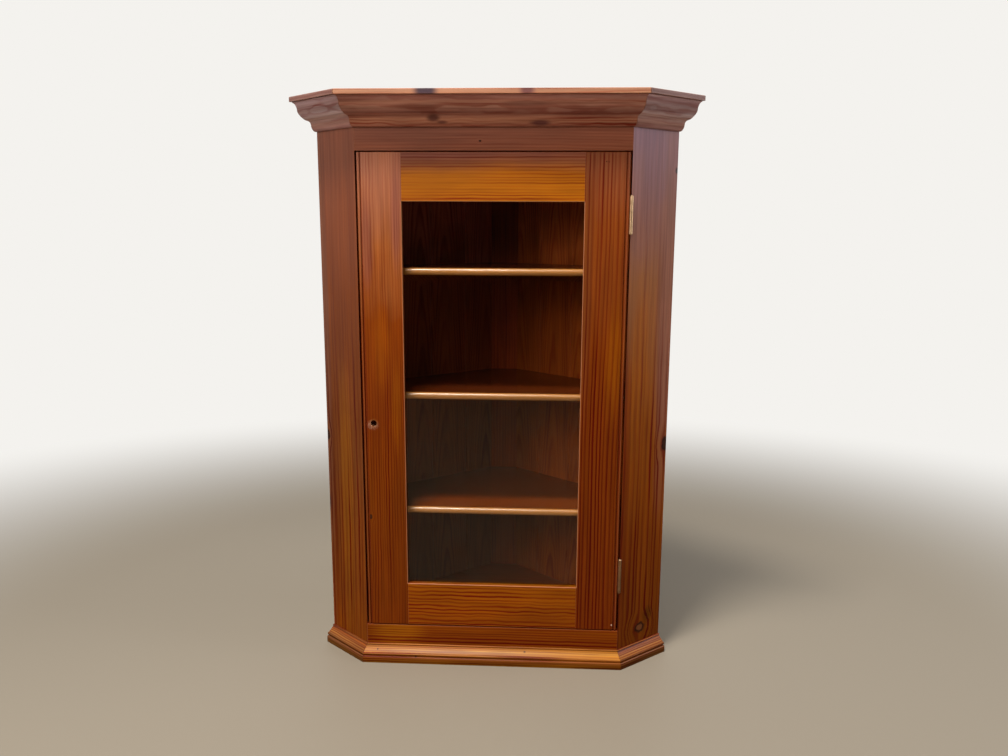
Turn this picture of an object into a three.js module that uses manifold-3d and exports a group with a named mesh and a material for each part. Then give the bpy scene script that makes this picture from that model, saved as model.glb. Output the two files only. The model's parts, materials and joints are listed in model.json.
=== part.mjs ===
// Corner cupboard: a stained pine display cupboard with one glazed door between two canted sides.
// Millimetres. X runs to the right, Y from the door towards the corner of the room, Z up.
// The drawing stands with the door's face on the plane y = 0 and the floor on z = 0, and the
// finished group is moved at the end so that its origin is the middle of the space it takes.
import * as THREE from 'three';
import { mergeVertices } from 'three/addons/utils/BufferGeometryUtils.js';
import Module from 'manifold-3d';

const wasm = await Module();
wasm.setup();

// Whole cupboard
const frontWidth = 495; // between the two upright arrises of the front
const returnWidth = 125; // face of each canted side
const cornerFlatWidth = 56.5; // narrow flat across the corner, where the two backs would meet
const carcassHeight = 1064; // up to the underside of the cap strips
const seam = 0.3; // hairline left where pieces meet at an angle
const cutOverrun = 1; // how far a cutting tool passes the face that it cuts

// Carcass boards
const returnThickness = 20;
const railThickness = 20;
const bottomRailHeight = 74;
const friezeRailHeight = 88.5;
const deckThickness = 18; // top and bottom boards
const cornerBoardThickness = 18;
const backRebateWidth = 10; // how far the back tucks into each side's rear edge

// Matched boards of the back
const backBoardThickness = 12;
const tongueThickness = 4;
const tongueLength = 5;
const tongueClearance = 0.4;
const veeDepth = 2;
const backJointShares = [0.159, 0.373, 0.586, 0.8]; // joints along the wall, from the side inwards

// Shelves and their bearers
const shelfThickness = 13;
const shelfTops = { lower: 309.5, middle: 536, upper: 769.5 };
const shelfClearance = 0.7;
const cleatWidth = 15;
const cleatHeight = 20;

// Door
const doorSideGap = 3;
const doorEndGap = 2.5;
const doorThickness = 20;
const stileWidth = 80;
const doorRailHeight = 85;
const edgeBeadRadius = 2.75;
const quirkWidth = 2.4;
const quirkDepth = 3.2;
const glassLip = 8; // wood in front of the glass
const glassRebateWidth = 10;
const glassThickness = 3;
const glassEdgeClearance = 1;
const glazingBeadWidth = 9;
const glazingBeadDepth = 8.5;
const glazingBeadChamfer = 2.5;
const tenonThickness = 7;
const tenonLength = 38;
const tenonShoulder = 8; // left at the outer edge of each rail
const tenonClearance = 0.3;
const knobHoleRadius = 6;
const knobHoleInset = 20; // from the door's closing edge
const knobHoleHeight = 480.5; // above the floor
const stopClearance = 0.3;
const stopThickness = 8;
const stopWidth = 12;

// Brass butt hinges
const hingeLength = 65;
const knuckleRadius = 3;
const knuckleCount = 5;
const knuckleGap = 0.3;
const barrelClearance = 0.3;
const leafThickness = 1.5;
const leafWidth = 17; // plate beside the barrel
const pinRadius = 1.5;
const pinClearance = 0.2;
const pinHeadRadius = 2.7;
const pinHeadHeight = 1.8;
const upperHingeInset = 75.5; // from the end of the door to the end of the hinge
const lowerHingeInset = 79.5;
const screwSpacing = 42;
const screwDepth = 10.5; // behind the door's face
const screwHeadRadius = 3;
const screwShankRadius = 1.4;
const screwClearance = 0.3;
const screwTip = 2;
const doorScrewLength = 15;
const frameScrewLength = 8.5; // short, because the side's front edge is a wedge
const slotWidth = 0.9;
const slotDepth = 0.7;

// Cornice, from the top down: runs go inwards and drops go downwards
const capThickness = 9;
const capOverhang = 6.5;
const capLap = 24; // how far the cap strips lie over the carcass
const capEase = 1.5;
const corniceFillet = 1;
const largeCove = { run: 9.5, drop: 13.5 };
const largeOvolo = { run: 20, drop: 15.5 };
const smallCove = { run: 8, drop: 7 };
const smallOvolo = { run: 8.5, drop: 11.5 };
const coveFullnessShare = 0.5; // 0.55 would make a quarter of an ellipse, less is flatter
const largeOvoloFullnessShare = 0.32;
const smallOvoloFullnessShare = 0.45;
const corniceLip = 3.5;

// Base moulding, from the floor up
const plinthProjection = 18;
const plinthBandHeight = 13.5;
const plinthEase = 2.5;
const beadSeat = 14.5; // projection of the quirk's bottom and of the bead's centre
const baseQuirkHeight = 2;
const baseBeadRadius = 2.25;
const hollowHeight = 11.5;
const hollowTop = 2.5; // projection at the upper end of the hollow
const hollowSagShare = 0.06;
const topBeadRadius = 1.75;

// Facets
const arcSteps = 6;
const pinHeadSteps = 3;
const roundSides = 24;
const screwSides = 16;

// Values worked out from the sizes above
const half = frontWidth / 2;
const diagonal = Math.SQRT1_2; // the sides stand at 45 degrees to the door
const mitre = Math.tan(Math.PI / 8); // half of that turn
const doorwayTop = carcassHeight - friezeRailHeight;
const doorWidth = frontWidth - 2 * doorSideGap;
const doorBottom = bottomRailHeight + doorEndGap;
const doorTop = doorwayTop - doorEndGap;
const sightHalf = doorWidth / 2 - stileWidth;
const sightBottom = doorBottom + doorRailHeight;
const sightTop = doorTop - doorRailHeight;
const stopFront = doorThickness + stopClearance;
const shelfFront = stopFront + stopThickness + shelfClearance;
const sideRearCorner = { x: half + returnWidth * diagonal, y: returnWidth * diagonal };
const rearDepth = sideRearCorner.x + sideRearCorner.y - cornerFlatWidth / 2;
const cornerBoardFront = rearDepth - cornerBoardThickness;
const corniceProjection = corniceLip + largeCove.run + largeOvolo.run + smallCove.run + smallOvolo.run;
const capProjection = corniceProjection + capOverhang;
const pinX = doorWidth / 2 + knuckleRadius;
const pinY = pinX - half - (knuckleRadius + barrelClearance) / diagonal;
const leafStart = knuckleRadius + knuckleGap; // plate's edge beside the barrel

// Finishes
function finish(color, roughness, metalness = 0) {
  return new THREE.MeshStandardMaterial({ color, roughness, metalness });
}

const finishes = {
  side: finish(0x6f3218, 0.35),
  rail: finish(0x7a3a18, 0.35),
  stile: finish(0x8a4218, 0.32),
  doorRail: finish(0xa8641a, 0.32),
  moulding: finish(0x7c4426, 0.35),
  cap: finish(0xb97a48, 0.4),
  inside: finish(0x5c2a10, 0.55),
  shelf: finish(0x9a6430, 0.4),
  brass: finish(0xc9a35c, 0.3, 0.9),
};
const glassFinish = finish(0x9fb4b0, 0.05);
glassFinish.transparent = true;
glassFinish.opacity = 0.3;

function part(name, geometry, material) {
  const mesh = new THREE.Mesh(geometry, material);
  mesh.name = name;
  return mesh;
}

// Solids and cuts
function solid(geometry) {
  const bare = geometry.clone();
  bare.deleteAttribute('normal');
  bare.deleteAttribute('uv');
  const merged = mergeVertices(bare);
  return new wasm.Manifold(new wasm.Mesh({
    numProp: 3,
    vertProperties: merged.attributes.position.array,
    triVerts: new Uint32Array(merged.index.array),
  }));
}

function geometryOf(body) {
  const mesh = body.getMesh();
  const geometry = new THREE.BufferGeometry();
  geometry.setAttribute('position', new THREE.BufferAttribute(mesh.vertProperties, 3));
  geometry.setIndex(new THREE.BufferAttribute(mesh.triVerts, 1));
  geometry.computeVertexNormals();
  return geometry;
}

function block(x, y, z) {
  const geometry = new THREE.BoxGeometry(x[1] - x[0], y[1] - y[0], z[1] - z[0]);
  return geometry.translate((x[0] + x[1]) / 2, (y[0] + y[1]) / 2, (z[0] + z[1]) / 2);
}

// A plan outline raised between two heights
function prism(points, bottom, top) {
  const outline = new THREE.Shape(points.map(([x, y]) => new THREE.Vector2(x, y)));
  const geometry = new THREE.ExtrudeGeometry(outline, { depth: top - bottom, bevelEnabled: false });
  return geometry.translate(0, 0, bottom);
}

function mirrored(points) {
  return points.map(([x, y]) => [-x, y]);
}

// Right-hand points joined to their mirror images make an outline that is alike on both sides
function bothSides(points) {
  return [...points, ...mirrored(points).reverse()];
}

// A section run along X. The section's own x is how far it stands out, towards -Y, and its y is
// height. The two end functions say where a point that stands out by p starts and ends.
function mouldingRun(section, startAt, endAt) {
  const settings = { depth: 1, bevelEnabled: false, curveSegments: arcSteps };
  const geometry = new THREE.ExtrudeGeometry(section, settings);
  const place = geometry.attributes.position;
  for (let i = 0; i < place.count; i += 1) {
    const out = place.getX(i);
    const along = THREE.MathUtils.lerp(endAt(out), startAt(out), place.getZ(i));
    place.setXYZ(i, along, -out, place.getY(i));
  }
  geometry.computeVertexNormals();
  return geometry;
}

// Plan of the right-hand side: s runs along its face from the front arris, d stands out from it
function onReturn(s, d) {
  return [half + (s + d) * diagonal, (s - d) * diagonal];
}

function onReturnAtDepth(y, d) {
  return onReturn(y / diagonal + d, d);
}

// Plan of the right-hand wall: s runs from the side's rear corner towards the room's corner
function onWall(s, d) {
  return [sideRearCorner.x - (s - d) * diagonal, sideRearCorner.y + (s + d) * diagonal];
}

function wallRunAtDepth(y, d) {
  return (y - sideRearCorner.y) / diagonal - d;
}

function onWallAtDepth(y, d) {
  return onWall(wallRunAtDepth(y, d), d);
}

// Space inside the carcass, from the given depth back to the corner board
function insidePlan(frontDepth) {
  const inset = returnThickness + seam;
  const behindJamb = inset / diagonal - seam;
  const front = frontDepth < behindJamb
    ? [[half - seam, frontDepth], [half - seam, behindJamb]]
    : [onReturnAtDepth(frontDepth, -inset)];
  return bothSides([
    ...front,
    onReturn(returnWidth - backBoardThickness - seam, -inset),
    onWallAtDepth(cornerBoardFront - seam, -(backBoardThickness + seam)),
  ]);
}

// Canted sides, with a jamb square to the door at the front and a rebate for the back
const returnPlan = [
  [half, 0],
  onReturn(returnWidth, 0),
  onReturn(returnWidth, backRebateWidth - returnThickness),
  onReturn(returnWidth - backBoardThickness - seam, backRebateWidth - returnThickness),
  onReturn(returnWidth - backBoardThickness - seam, -returnThickness),
  [half, returnThickness / diagonal],
];

function hingeMiddles() {
  return {
    upper: doorTop - upperHingeInset - hingeLength / 2,
    lower: doorBottom + lowerHingeInset + hingeLength / 2,
  };
}

function screwHeights(middle) {
  return { top: middle + screwSpacing / 2, bottom: middle - screwSpacing / 2 };
}

function pilotHole(length, x, y, z, turn) {
  const radius = screwShankRadius + screwClearance;
  const hole = new THREE.CylinderGeometry(radius, radius, length + cutOverrun, screwSides);
  hole.translate(0, (length - cutOverrun) / 2, 0).rotateZ(turn);
  return solid(hole.translate(x, y, z));
}

function returnRight() {
  let body = solid(prism(returnPlan, 0, carcassHeight));
  for (const middle of Object.values(hingeMiddles())) {
    const housing = block(
      [half - cutOverrun, half + leafThickness + seam],
      [-cutOverrun, pinY + leafStart + leafWidth + seam],
      [middle - hingeLength / 2 - seam, middle + hingeLength / 2 + seam],
    );
    body = body.subtract(solid(housing));
    for (const height of Object.values(screwHeights(middle))) {
      const reach = frameScrewLength + screwClearance;
      body = body.subtract(pilotHole(reach, half, screwDepth, height, -Math.PI / 2));
    }
  }
  return geometryOf(body);
}

function carcassFrame() {
  const deck = insidePlan(railThickness);
  const across = [-half, half];
  const through = [0, railThickness];
  return [
    part('return_left', prism(mirrored(returnPlan), 0, carcassHeight), finishes.side),
    part('return_right', returnRight(), finishes.side),
    part('frieze_rail', block(across, through, [doorwayTop, carcassHeight]), finishes.rail),
    part('bottom_rail', block(across, through, [0, bottomRailHeight]), finishes.rail),
    part('top_board', prism(deck, carcassHeight - deckThickness, carcassHeight), finishes.inside),
    part('bottom_board', prism(deck, bottomRailHeight - deckThickness, bottomRailHeight), finishes.inside),
  ];
}

// Back of tongued and grooved boards, V-jointed on the inside, nailed to a strip in the corner
function backBoardPlan(start, end, isFirst, isLast) {
  const tongueTop = -(backBoardThickness - tongueThickness) / 2;
  const tongueBottom = tongueTop - tongueThickness;
  const grooveEnd = start + tongueLength + tongueClearance;
  const farEdge = isLast
    ? [[wallRunAtDepth(rearDepth, 0), 0],
      [wallRunAtDepth(rearDepth, -backBoardThickness), -backBoardThickness]]
    : [[end, 0], [end, tongueTop], [end + tongueLength, tongueTop], [end + tongueLength, tongueBottom],
      [end, tongueBottom], [end, veeDepth - backBoardThickness], [end - veeDepth, -backBoardThickness]];
  const nearEdge = isFirst
    ? [[start, -backBoardThickness], [start, 0]]
    : [[start + veeDepth, -backBoardThickness], [start, veeDepth - backBoardThickness],
      [start, tongueBottom - tongueClearance], [grooveEnd, tongueBottom - tongueClearance],
      [grooveEnd, tongueTop + tongueClearance], [start, tongueTop + tongueClearance], [start, 0]];
  return [...farEdge, ...nearEdge].map(([s, d]) => onWall(s, d));
}

function backBoards() {
  const wallLength = wallRunAtDepth(rearDepth, 0);
  const tuck = returnThickness - backRebateWidth + seam;
  const joints = backJointShares.map((share) => share * wallLength);
  const starts = [tuck, ...joints.map((s) => s + seam)];
  const ends = [...joints, wallLength];
  return starts.flatMap((start, i) => {
    const plan = backBoardPlan(start, ends[i], i === 0, i === starts.length - 1);
    return [
      part(`back_board_right_${i + 1}`, prism(plan, 0, carcassHeight), finishes.inside),
      part(`back_board_left_${i + 1}`, prism(mirrored(plan), 0, carcassHeight), finishes.inside),
    ];
  });
}

function cornerBoard() {
  const behindBoards = -(backBoardThickness + seam);
  const plan = bothSides([
    onWallAtDepth(cornerBoardFront, behindBoards),
    onWallAtDepth(rearDepth, behindBoards),
  ]);
  return part('corner_board', prism(plan, 0, carcassHeight), finishes.inside);
}

// Shelves with a round front edge, each on two bearers fixed to the back
function shelf(top) {
  const radius = shelfThickness / 2;
  const [cornerX] = onReturnAtDepth(shelfFront, -(returnThickness + seam));
  const nose = new THREE.Shape();
  nose.moveTo(-shelfFront - shelfThickness, top - shelfThickness);
  nose.lineTo(-shelfFront - radius, top - shelfThickness);
  nose.absarc(-shelfFront - radius, top - radius, radius, -Math.PI / 2, Math.PI / 2);
  nose.lineTo(-shelfFront - shelfThickness, top);
  nose.closePath();
  const board = prism(insidePlan(shelfFront + radius), top - shelfThickness, top);
  const edge = mouldingRun(nose, () => -cornerX, () => cornerX);
  return geometryOf(solid(board).add(solid(edge)));
}

function cleatPlan() {
  const near = -(backBoardThickness + seam);
  const far = near - cleatWidth;
  return [
    onWall(returnThickness + seam, near),
    onWallAtDepth(cornerBoardFront - seam, near),
    onWallAtDepth(cornerBoardFront - seam, far),
    onWall(returnThickness + seam, far),
  ];
}

function shelves() {
  return Object.entries(shelfTops).flatMap(([level, top]) => {
    const cleatTop = top - shelfThickness;
    const plan = cleatPlan();
    return [
      part(`shelf_${level}`, shelf(top), finishes.shelf),
      part(`cleat_${level}_right`, prism(plan, cleatTop - cleatHeight, cleatTop), finishes.inside),
      part(`cleat_${level}_left`, prism(mirrored(plan), cleatTop - cleatHeight, cleatTop), finishes.inside),
    ];
  });
}

// Mouldings go round the front in three runs, mitred at the arrises and cut square at the wall
function corniceSection() {
  const section = new THREE.Shape();
  let out = corniceProjection;
  let up = carcassHeight;
  section.moveTo(seam, up);
  section.lineTo(out, up);
  up -= corniceFillet;
  section.lineTo(out, up);
  const sweeps = [
    [largeCove, -1, 0, coveFullnessShare],
    [largeOvolo, 0, -1, largeOvoloFullnessShare],
    [smallCove, -1, 0, coveFullnessShare],
    [smallOvolo, 0, -1, smallOvoloFullnessShare],
  ];
  for (const [{ run, drop }, outwards, upwards, fullness] of sweeps) {
    // A cove leaves level and arrives upright, an ovolo the other way round
    const corner = [out + outwards * run, up + upwards * drop];
    const end = [out - run, up - drop];
    section.bezierCurveTo(
      out + (corner[0] - out) * fullness,
      up + (corner[1] - up) * fullness,
      end[0] + (corner[0] - end[0]) * fullness,
      end[1] + (corner[1] - end[1]) * fullness,
      ...end,
    );
    [out, up] = end;
  }
  section.lineTo(seam, up);
  section.closePath();
  return section;
}

function capSection() {
  const section = new THREE.Shape();
  const top = carcassHeight + capThickness;
  section.moveTo(-capLap, carcassHeight);
  section.lineTo(capProjection, carcassHeight);
  section.lineTo(capProjection, top - capEase);
  section.absarc(capProjection - capEase, top - capEase, capEase, 0, Math.PI / 2);
  section.lineTo(-capLap, top);
  section.closePath();
  return section;
}

function baseSection() {
  const section = new THREE.Shape();
  const beadMiddle = plinthBandHeight + baseQuirkHeight + baseBeadRadius;
  const hollowBottom = beadMiddle + baseBeadRadius;
  const ledge = hollowBottom + hollowHeight;
  const sag = hollowSagShare * hollowHeight;
  section.moveTo(seam, 0);
  section.lineTo(plinthProjection, 0);
  section.absarc(plinthProjection - plinthEase, plinthBandHeight - plinthEase, plinthEase, 0, Math.PI / 2);
  section.lineTo(beadSeat, plinthBandHeight);
  section.lineTo(beadSeat, plinthBandHeight + baseQuirkHeight);
  section.absarc(beadSeat, beadMiddle, baseBeadRadius, -Math.PI / 2, Math.PI / 2);
  section.quadraticCurveTo(
    (beadSeat + hollowTop) / 2 - sag,
    (hollowBottom + ledge) / 2 - sag,
    hollowTop,
    ledge,
  );
  section.absarc(topBeadRadius, ledge + topBeadRadius, topBeadRadius, -Math.PI / 2, Math.PI / 2);
  section.lineTo(seam, ledge + 2 * topBeadRadius);
  section.closePath();
  return section;
}

function threeRuns(name, section, material) {
  const square = (length) => () => length;
  const mitredStart = (out) => seam - out * mitre;
  const mitredEnd = (length) => (out) => length - seam + out * mitre;
  const runs = {
    left: mouldingRun(section, square(0), mitredEnd(returnWidth)),
    front: mouldingRun(section, mitredStart, mitredEnd(frontWidth)),
    right: mouldingRun(section, mitredStart, square(returnWidth)),
  };
  const meshes = Object.entries(runs).map(([side, geometry]) => (
    part(`${name}_${side}`, geometry, material)
  ));
  const [left, front, right] = meshes;
  left.rotation.z = -Math.PI / 4;
  left.position.set(-sideRearCorner.x, sideRearCorner.y, 0);
  front.position.x = -half;
  right.rotation.z = Math.PI / 4;
  right.position.x = half;
  return meshes;
}

// Door: stiles run the full height, rails are tenoned between them, glass is held from behind
function stilePlan() {
  const outer = doorWidth / 2;
  const beadEnd = outer - 2 * edgeBeadRadius;
  const points = [
    [sightHalf, 0],
    [beadEnd - quirkWidth, 0],
    [beadEnd - quirkWidth, quirkDepth],
    [beadEnd, quirkDepth],
  ];
  for (let i = 0; i <= 2 * arcSteps; i += 1) {
    const angle = (Math.PI * i) / (2 * arcSteps);
    const x = outer - edgeBeadRadius * (1 + Math.cos(angle));
    points.push([x, edgeBeadRadius * (1 - Math.sin(angle))]);
  }
  points.push(
    [outer, doorThickness],
    [sightHalf + glassRebateWidth, doorThickness],
    [sightHalf + glassRebateWidth, glassLip],
    [sightHalf, glassLip],
  );
  return points;
}

function tenonHeights(isTop) {
  const fromSight = glassRebateWidth + tenonShoulder;
  return isTop
    ? [sightTop + fromSight, doorTop - tenonShoulder]
    : [doorBottom + tenonShoulder, sightBottom - fromSight];
}

function tenonBlock(isTop, play) {
  const reach = sightHalf + glassRebateWidth + tenonLength + play;
  const middle = (glassLip + doorThickness) / 2;
  const [low, high] = tenonHeights(isTop);
  return block(
    [-reach, reach],
    [middle - tenonThickness / 2 - play, middle + tenonThickness / 2 + play],
    [low - play, high + play],
  );
}

function plainStile(isLeft) {
  const plan = isLeft ? mirrored(stilePlan()) : stilePlan();
  let body = solid(prism(plan, doorBottom, doorTop));
  for (const isTop of [true, false]) {
    body = body.subtract(solid(tenonBlock(isTop, tenonClearance)));
  }
  return body;
}

function stileLeft() {
  const bore = new THREE.CylinderGeometry(
    knobHoleRadius,
    knobHoleRadius,
    doorThickness + 2 * cutOverrun,
    roundSides,
  );
  bore.translate(knobHoleInset - doorWidth / 2, doorThickness / 2, knobHoleHeight);
  return plainStile(true).subtract(solid(bore));
}

function stileRight() {
  let body = plainStile(false);
  const reach = doorScrewLength + screwClearance;
  for (const middle of Object.values(hingeMiddles())) {
    for (const height of Object.values(screwHeights(middle))) {
      body = body.subtract(pilotHole(reach, doorWidth / 2, screwDepth, height, Math.PI / 2));
    }
  }
  return body;
}

function doorRail(isTop) {
  const [low, high] = isTop ? [sightTop, doorTop] : [doorBottom, sightBottom];
  const behindGlass = isTop ? [low + glassRebateWidth, high] : [low, high - glassRebateWidth];
  const longShoulder = sightHalf + glassRebateWidth;
  const face = block([-sightHalf, sightHalf], [0, glassLip], [low, high]);
  const back = block([-longShoulder, longShoulder], [glassLip, doorThickness], behindGlass);
  return geometryOf(solid(face).add(solid(back)).add(solid(tenonBlock(isTop, 0))));
}

function glassPane() {
  const reach = glassRebateWidth - glassEdgeClearance;
  return block(
    [-sightHalf - reach, sightHalf + reach],
    [glassLip, glassLip + glassThickness],
    [sightBottom - reach, sightTop + reach],
  );
}

function glazingBeads() {
  const front = glassLip + glassThickness;
  const back = front + glazingBeadDepth;
  const section = new THREE.Shape();
  section.moveTo(0, front);
  section.lineTo(glazingBeadWidth, front);
  section.lineTo(glazingBeadWidth, back - glazingBeadChamfer);
  section.lineTo(glazingBeadWidth - glazingBeadChamfer, back);
  section.lineTo(0, back);
  section.closePath();
  const halfAcross = sightHalf + glassRebateWidth;
  const halfUp = (sightTop - sightBottom) / 2 + glassRebateWidth;
  const middle = (sightTop + sightBottom) / 2;
  const sides = { bottom: halfAcross, right: halfUp, top: halfAcross, left: halfUp };
  return Object.entries(sides).map(([side, reach], i) => {
    const inset = i % 2 === 0 ? halfUp : halfAcross;
    const geometry = mouldingRun(section, (out) => seam + out - reach, (out) => reach - out - seam);
    geometry.translate(0, inset, 0).rotateX(-Math.PI / 2).rotateY((-Math.PI / 2) * i);
    return part(`glazing_bead_${side}`, geometry.translate(0, 0, middle), finishes.doorRail);
  });
}

// Hinges, drawn about the pin: one leaf lies on the door's edge, the other is let into the jamb
function knuckle(index, height) {
  const bottom = -hingeLength / 2 + index * height;
  const barrel = new THREE.CylinderGeometry(knuckleRadius, knuckleRadius, height - knuckleGap, roundSides);
  return barrel.rotateX(Math.PI / 2).translate(0, 0, bottom + height / 2);
}

function countersink(face, inwards, height) {
  const depth = leafThickness + 2 * cutOverrun;
  const slope = (screwHeadRadius - screwShankRadius) / leafThickness;
  const wide = screwHeadRadius + screwClearance + cutOverrun * slope;
  const narrow = screwShankRadius + screwClearance - cutOverrun * slope;
  const cone = new THREE.CylinderGeometry(wide, narrow, depth, screwSides);
  cone.rotateZ((inwards * Math.PI) / 2).translate(face + (inwards * leafThickness) / 2, 0, 0);
  return solid(cone.translate(0, screwDepth - pinY, height));
}

function leaf(plateLow, knuckles, inwards) {
  const height = hingeLength / knuckleCount;
  const thick = [plateLow, plateLow + leafThickness];
  const tall = [-hingeLength / 2, hingeLength / 2];
  let body = solid(block(thick, [leafStart, leafStart + leafWidth], tall));
  for (const index of knuckles) {
    const bottom = -hingeLength / 2 + index * height + knuckleGap / 2;
    const neck = block(thick, [0, leafStart + cutOverrun], [bottom, bottom + height - knuckleGap]);
    body = body.add(solid(knuckle(index, height))).add(solid(neck));
  }
  const boreRadius = pinRadius + pinClearance;
  const bore = new THREE.CylinderGeometry(boreRadius, boreRadius, hingeLength + 2 * cutOverrun, roundSides);
  body = body.subtract(solid(bore.rotateX(Math.PI / 2)));
  const face = inwards < 0 ? thick[1] : thick[0];
  for (const screwHeight of Object.values(screwHeights(0))) {
    body = body.subtract(countersink(face, inwards, screwHeight));
  }
  return geometryOf(body);
}

function hingePin() {
  const end = hingeLength / 2 + knuckleGap;
  const outline = new THREE.Path();
  outline.moveTo(0, -end - pinHeadHeight);
  outline.absellipse(0, -end, pinHeadRadius, pinHeadHeight, -Math.PI / 2, 0, false);
  outline.lineTo(pinRadius, -end);
  outline.lineTo(pinRadius, end);
  outline.lineTo(pinHeadRadius, end);
  outline.absellipse(0, end, pinHeadRadius, pinHeadHeight, 0, Math.PI / 2, false);
  const points = outline.getPoints(pinHeadSteps);
  points[0].x = 0;
  points[points.length - 1].x = 0;
  return new THREE.LatheGeometry(points, roundSides).rotateX(Math.PI / 2);
}

function screw(length, inwards) {
  const outline = [
    [0, 0],
    [screwShankRadius, screwTip],
    [screwShankRadius, length - leafThickness],
    [screwHeadRadius, length],
    [0, length],
  ].map(([radius, up]) => new THREE.Vector2(radius, up));
  const turned = solid(new THREE.LatheGeometry(outline, screwSides));
  const slot = block(
    [-slotWidth / 2, slotWidth / 2],
    [length - slotDepth, length + cutOverrun],
    [-screwHeadRadius - cutOverrun, screwHeadRadius + cutOverrun],
  );
  const geometry = geometryOf(turned.subtract(solid(slot)));
  return geometry.translate(0, -length, 0).rotateZ((inwards * Math.PI) / 2);
}

const doorLeafLow = doorWidth / 2 - pinX;
const frameLeafLow = half - pinX;

function hinge(level, middle) {
  const doorSide = new THREE.Group();
  const frameSide = new THREE.Group();
  doorSide.add(part(`hinge_${level}_door_leaf`, leaf(doorLeafLow, [1, 3], -1), finishes.brass));
  frameSide.add(part(`hinge_${level}_frame_leaf`, leaf(frameLeafLow, [0, 2, 4], 1), finishes.brass));
  frameSide.add(part(`hinge_${level}_pin`, hingePin(), finishes.brass));
  for (const [place, height] of Object.entries(screwHeights(0))) {
    const screwIn = (side, length, inwards) => (
      part(`hinge_${level}_${side}_screw_${place}`, screw(length, inwards), finishes.brass)
    );
    const doorScrew = screwIn('door', doorScrewLength, -1);
    const frameScrew = screwIn('frame', frameScrewLength, 1);
    doorScrew.position.set(doorLeafLow + leafThickness, screwDepth - pinY, height);
    frameScrew.position.set(frameLeafLow, screwDepth - pinY, height);
    doorSide.add(doorScrew);
    frameSide.add(frameScrew);
  }
  for (const side of [doorSide, frameSide]) {
    side.position.set(pinX, pinY, middle);
  }
  return { doorSide, frameSide };
}

function doorStop() {
  return part('door_stop', block(
    [-half, stopWidth - half],
    [stopFront, stopFront + stopThickness],
    [bottomRailHeight, doorwayTop],
  ), finishes.rail);
}

// The whole cupboard
const carcass = new THREE.Group();
carcass.add(
  ...carcassFrame(),
  ...backBoards(),
  cornerBoard(),
  ...shelves(),
  doorStop(),
  ...threeRuns('cornice', corniceSection(), finishes.moulding),
  ...threeRuns('cornice_cap', capSection(), finishes.cap),
  ...threeRuns('base_moulding', baseSection(), finishes.moulding),
);

const door = new THREE.Group();
door.add(
  part('door_stile_left', geometryOf(stileLeft()), finishes.stile),
  part('door_stile_right', geometryOf(stileRight()), finishes.stile),
  part('door_rail_top', doorRail(true), finishes.doorRail),
  part('door_rail_bottom', doorRail(false), finishes.doorRail),
  part('door_glass', glassPane(), glassFinish),
  ...glazingBeads(),
);

for (const [level, middle] of Object.entries(hingeMiddles())) {
  const { doorSide, frameSide } = hinge(level, middle);
  door.add(doorSide);
  carcass.add(frameSide);
}

const cupboard = new THREE.Group();
cupboard.add(carcass, door);
cupboard.position.y = (capProjection - rearDepth) / 2;

export default cupboard;
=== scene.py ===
# %% [markdown]
# # Corner cupboard in Blender
# A corner cupboard of stained pine with one glazed door. The solid model gives every board its
# place and size. This file eases the edges of the boards that are seen, gives them grain, stain
# and varnish, makes the brass and the glass, and lights it all in a small studio.

# %% Load the solid model
import json
import math
from collections import namedtuple

import bpy
from mathutils import Matrix, Vector

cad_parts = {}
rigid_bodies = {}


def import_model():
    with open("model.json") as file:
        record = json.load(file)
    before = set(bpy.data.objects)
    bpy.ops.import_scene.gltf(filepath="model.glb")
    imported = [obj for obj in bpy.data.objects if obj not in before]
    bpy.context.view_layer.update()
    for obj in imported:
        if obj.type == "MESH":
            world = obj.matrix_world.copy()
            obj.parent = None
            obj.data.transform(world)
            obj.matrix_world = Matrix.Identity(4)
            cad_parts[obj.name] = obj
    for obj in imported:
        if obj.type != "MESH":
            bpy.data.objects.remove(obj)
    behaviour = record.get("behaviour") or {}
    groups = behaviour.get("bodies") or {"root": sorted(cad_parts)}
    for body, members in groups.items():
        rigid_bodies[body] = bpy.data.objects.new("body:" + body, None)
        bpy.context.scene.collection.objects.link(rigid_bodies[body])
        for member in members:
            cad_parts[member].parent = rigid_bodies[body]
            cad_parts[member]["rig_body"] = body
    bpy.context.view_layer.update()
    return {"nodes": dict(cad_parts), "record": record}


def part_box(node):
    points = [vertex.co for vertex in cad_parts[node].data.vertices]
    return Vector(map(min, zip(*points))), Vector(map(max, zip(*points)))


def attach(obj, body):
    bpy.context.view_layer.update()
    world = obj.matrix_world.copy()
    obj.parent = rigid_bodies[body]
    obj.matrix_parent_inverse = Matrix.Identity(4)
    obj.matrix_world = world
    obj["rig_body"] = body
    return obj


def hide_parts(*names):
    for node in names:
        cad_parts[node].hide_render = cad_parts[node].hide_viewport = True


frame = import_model()
nodes = frame["nodes"]
body_of = {node: piece["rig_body"] for node, piece in nodes.items()}
slot_of = {part["node"]: part["material_slot"] for part in frame["record"]["subparts"]}

# %% [markdown]
# ## Camera
# The cupboard is seen from a little above its middle and slightly from the right, with a wide
# lens. A camera can be aimed by eye, but this one's place and turn were worked out from the
# corners of the boards, so that the edges land where they should. A small upward shift stands for
# the part of the picture that was trimmed off.

# %% Camera
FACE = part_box("frieze_rail")[0].y  # the front of the frame, and of the door that is flush with it
CAMERA_X, CAMERA_AWAY, CAMERA_Z = 0.1305, 1.7808, 0.8344
YAW, PITCH, ROLL = -0.06027, 0.22123, 0.00496  # radians
PICTURE_WIDTH = 1008                           # pixels, and so are the next two
FOCAL_LENGTH = 967.4
LENS_DROP = 72
SENSOR_WIDTH = 36                              # millimetres

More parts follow.
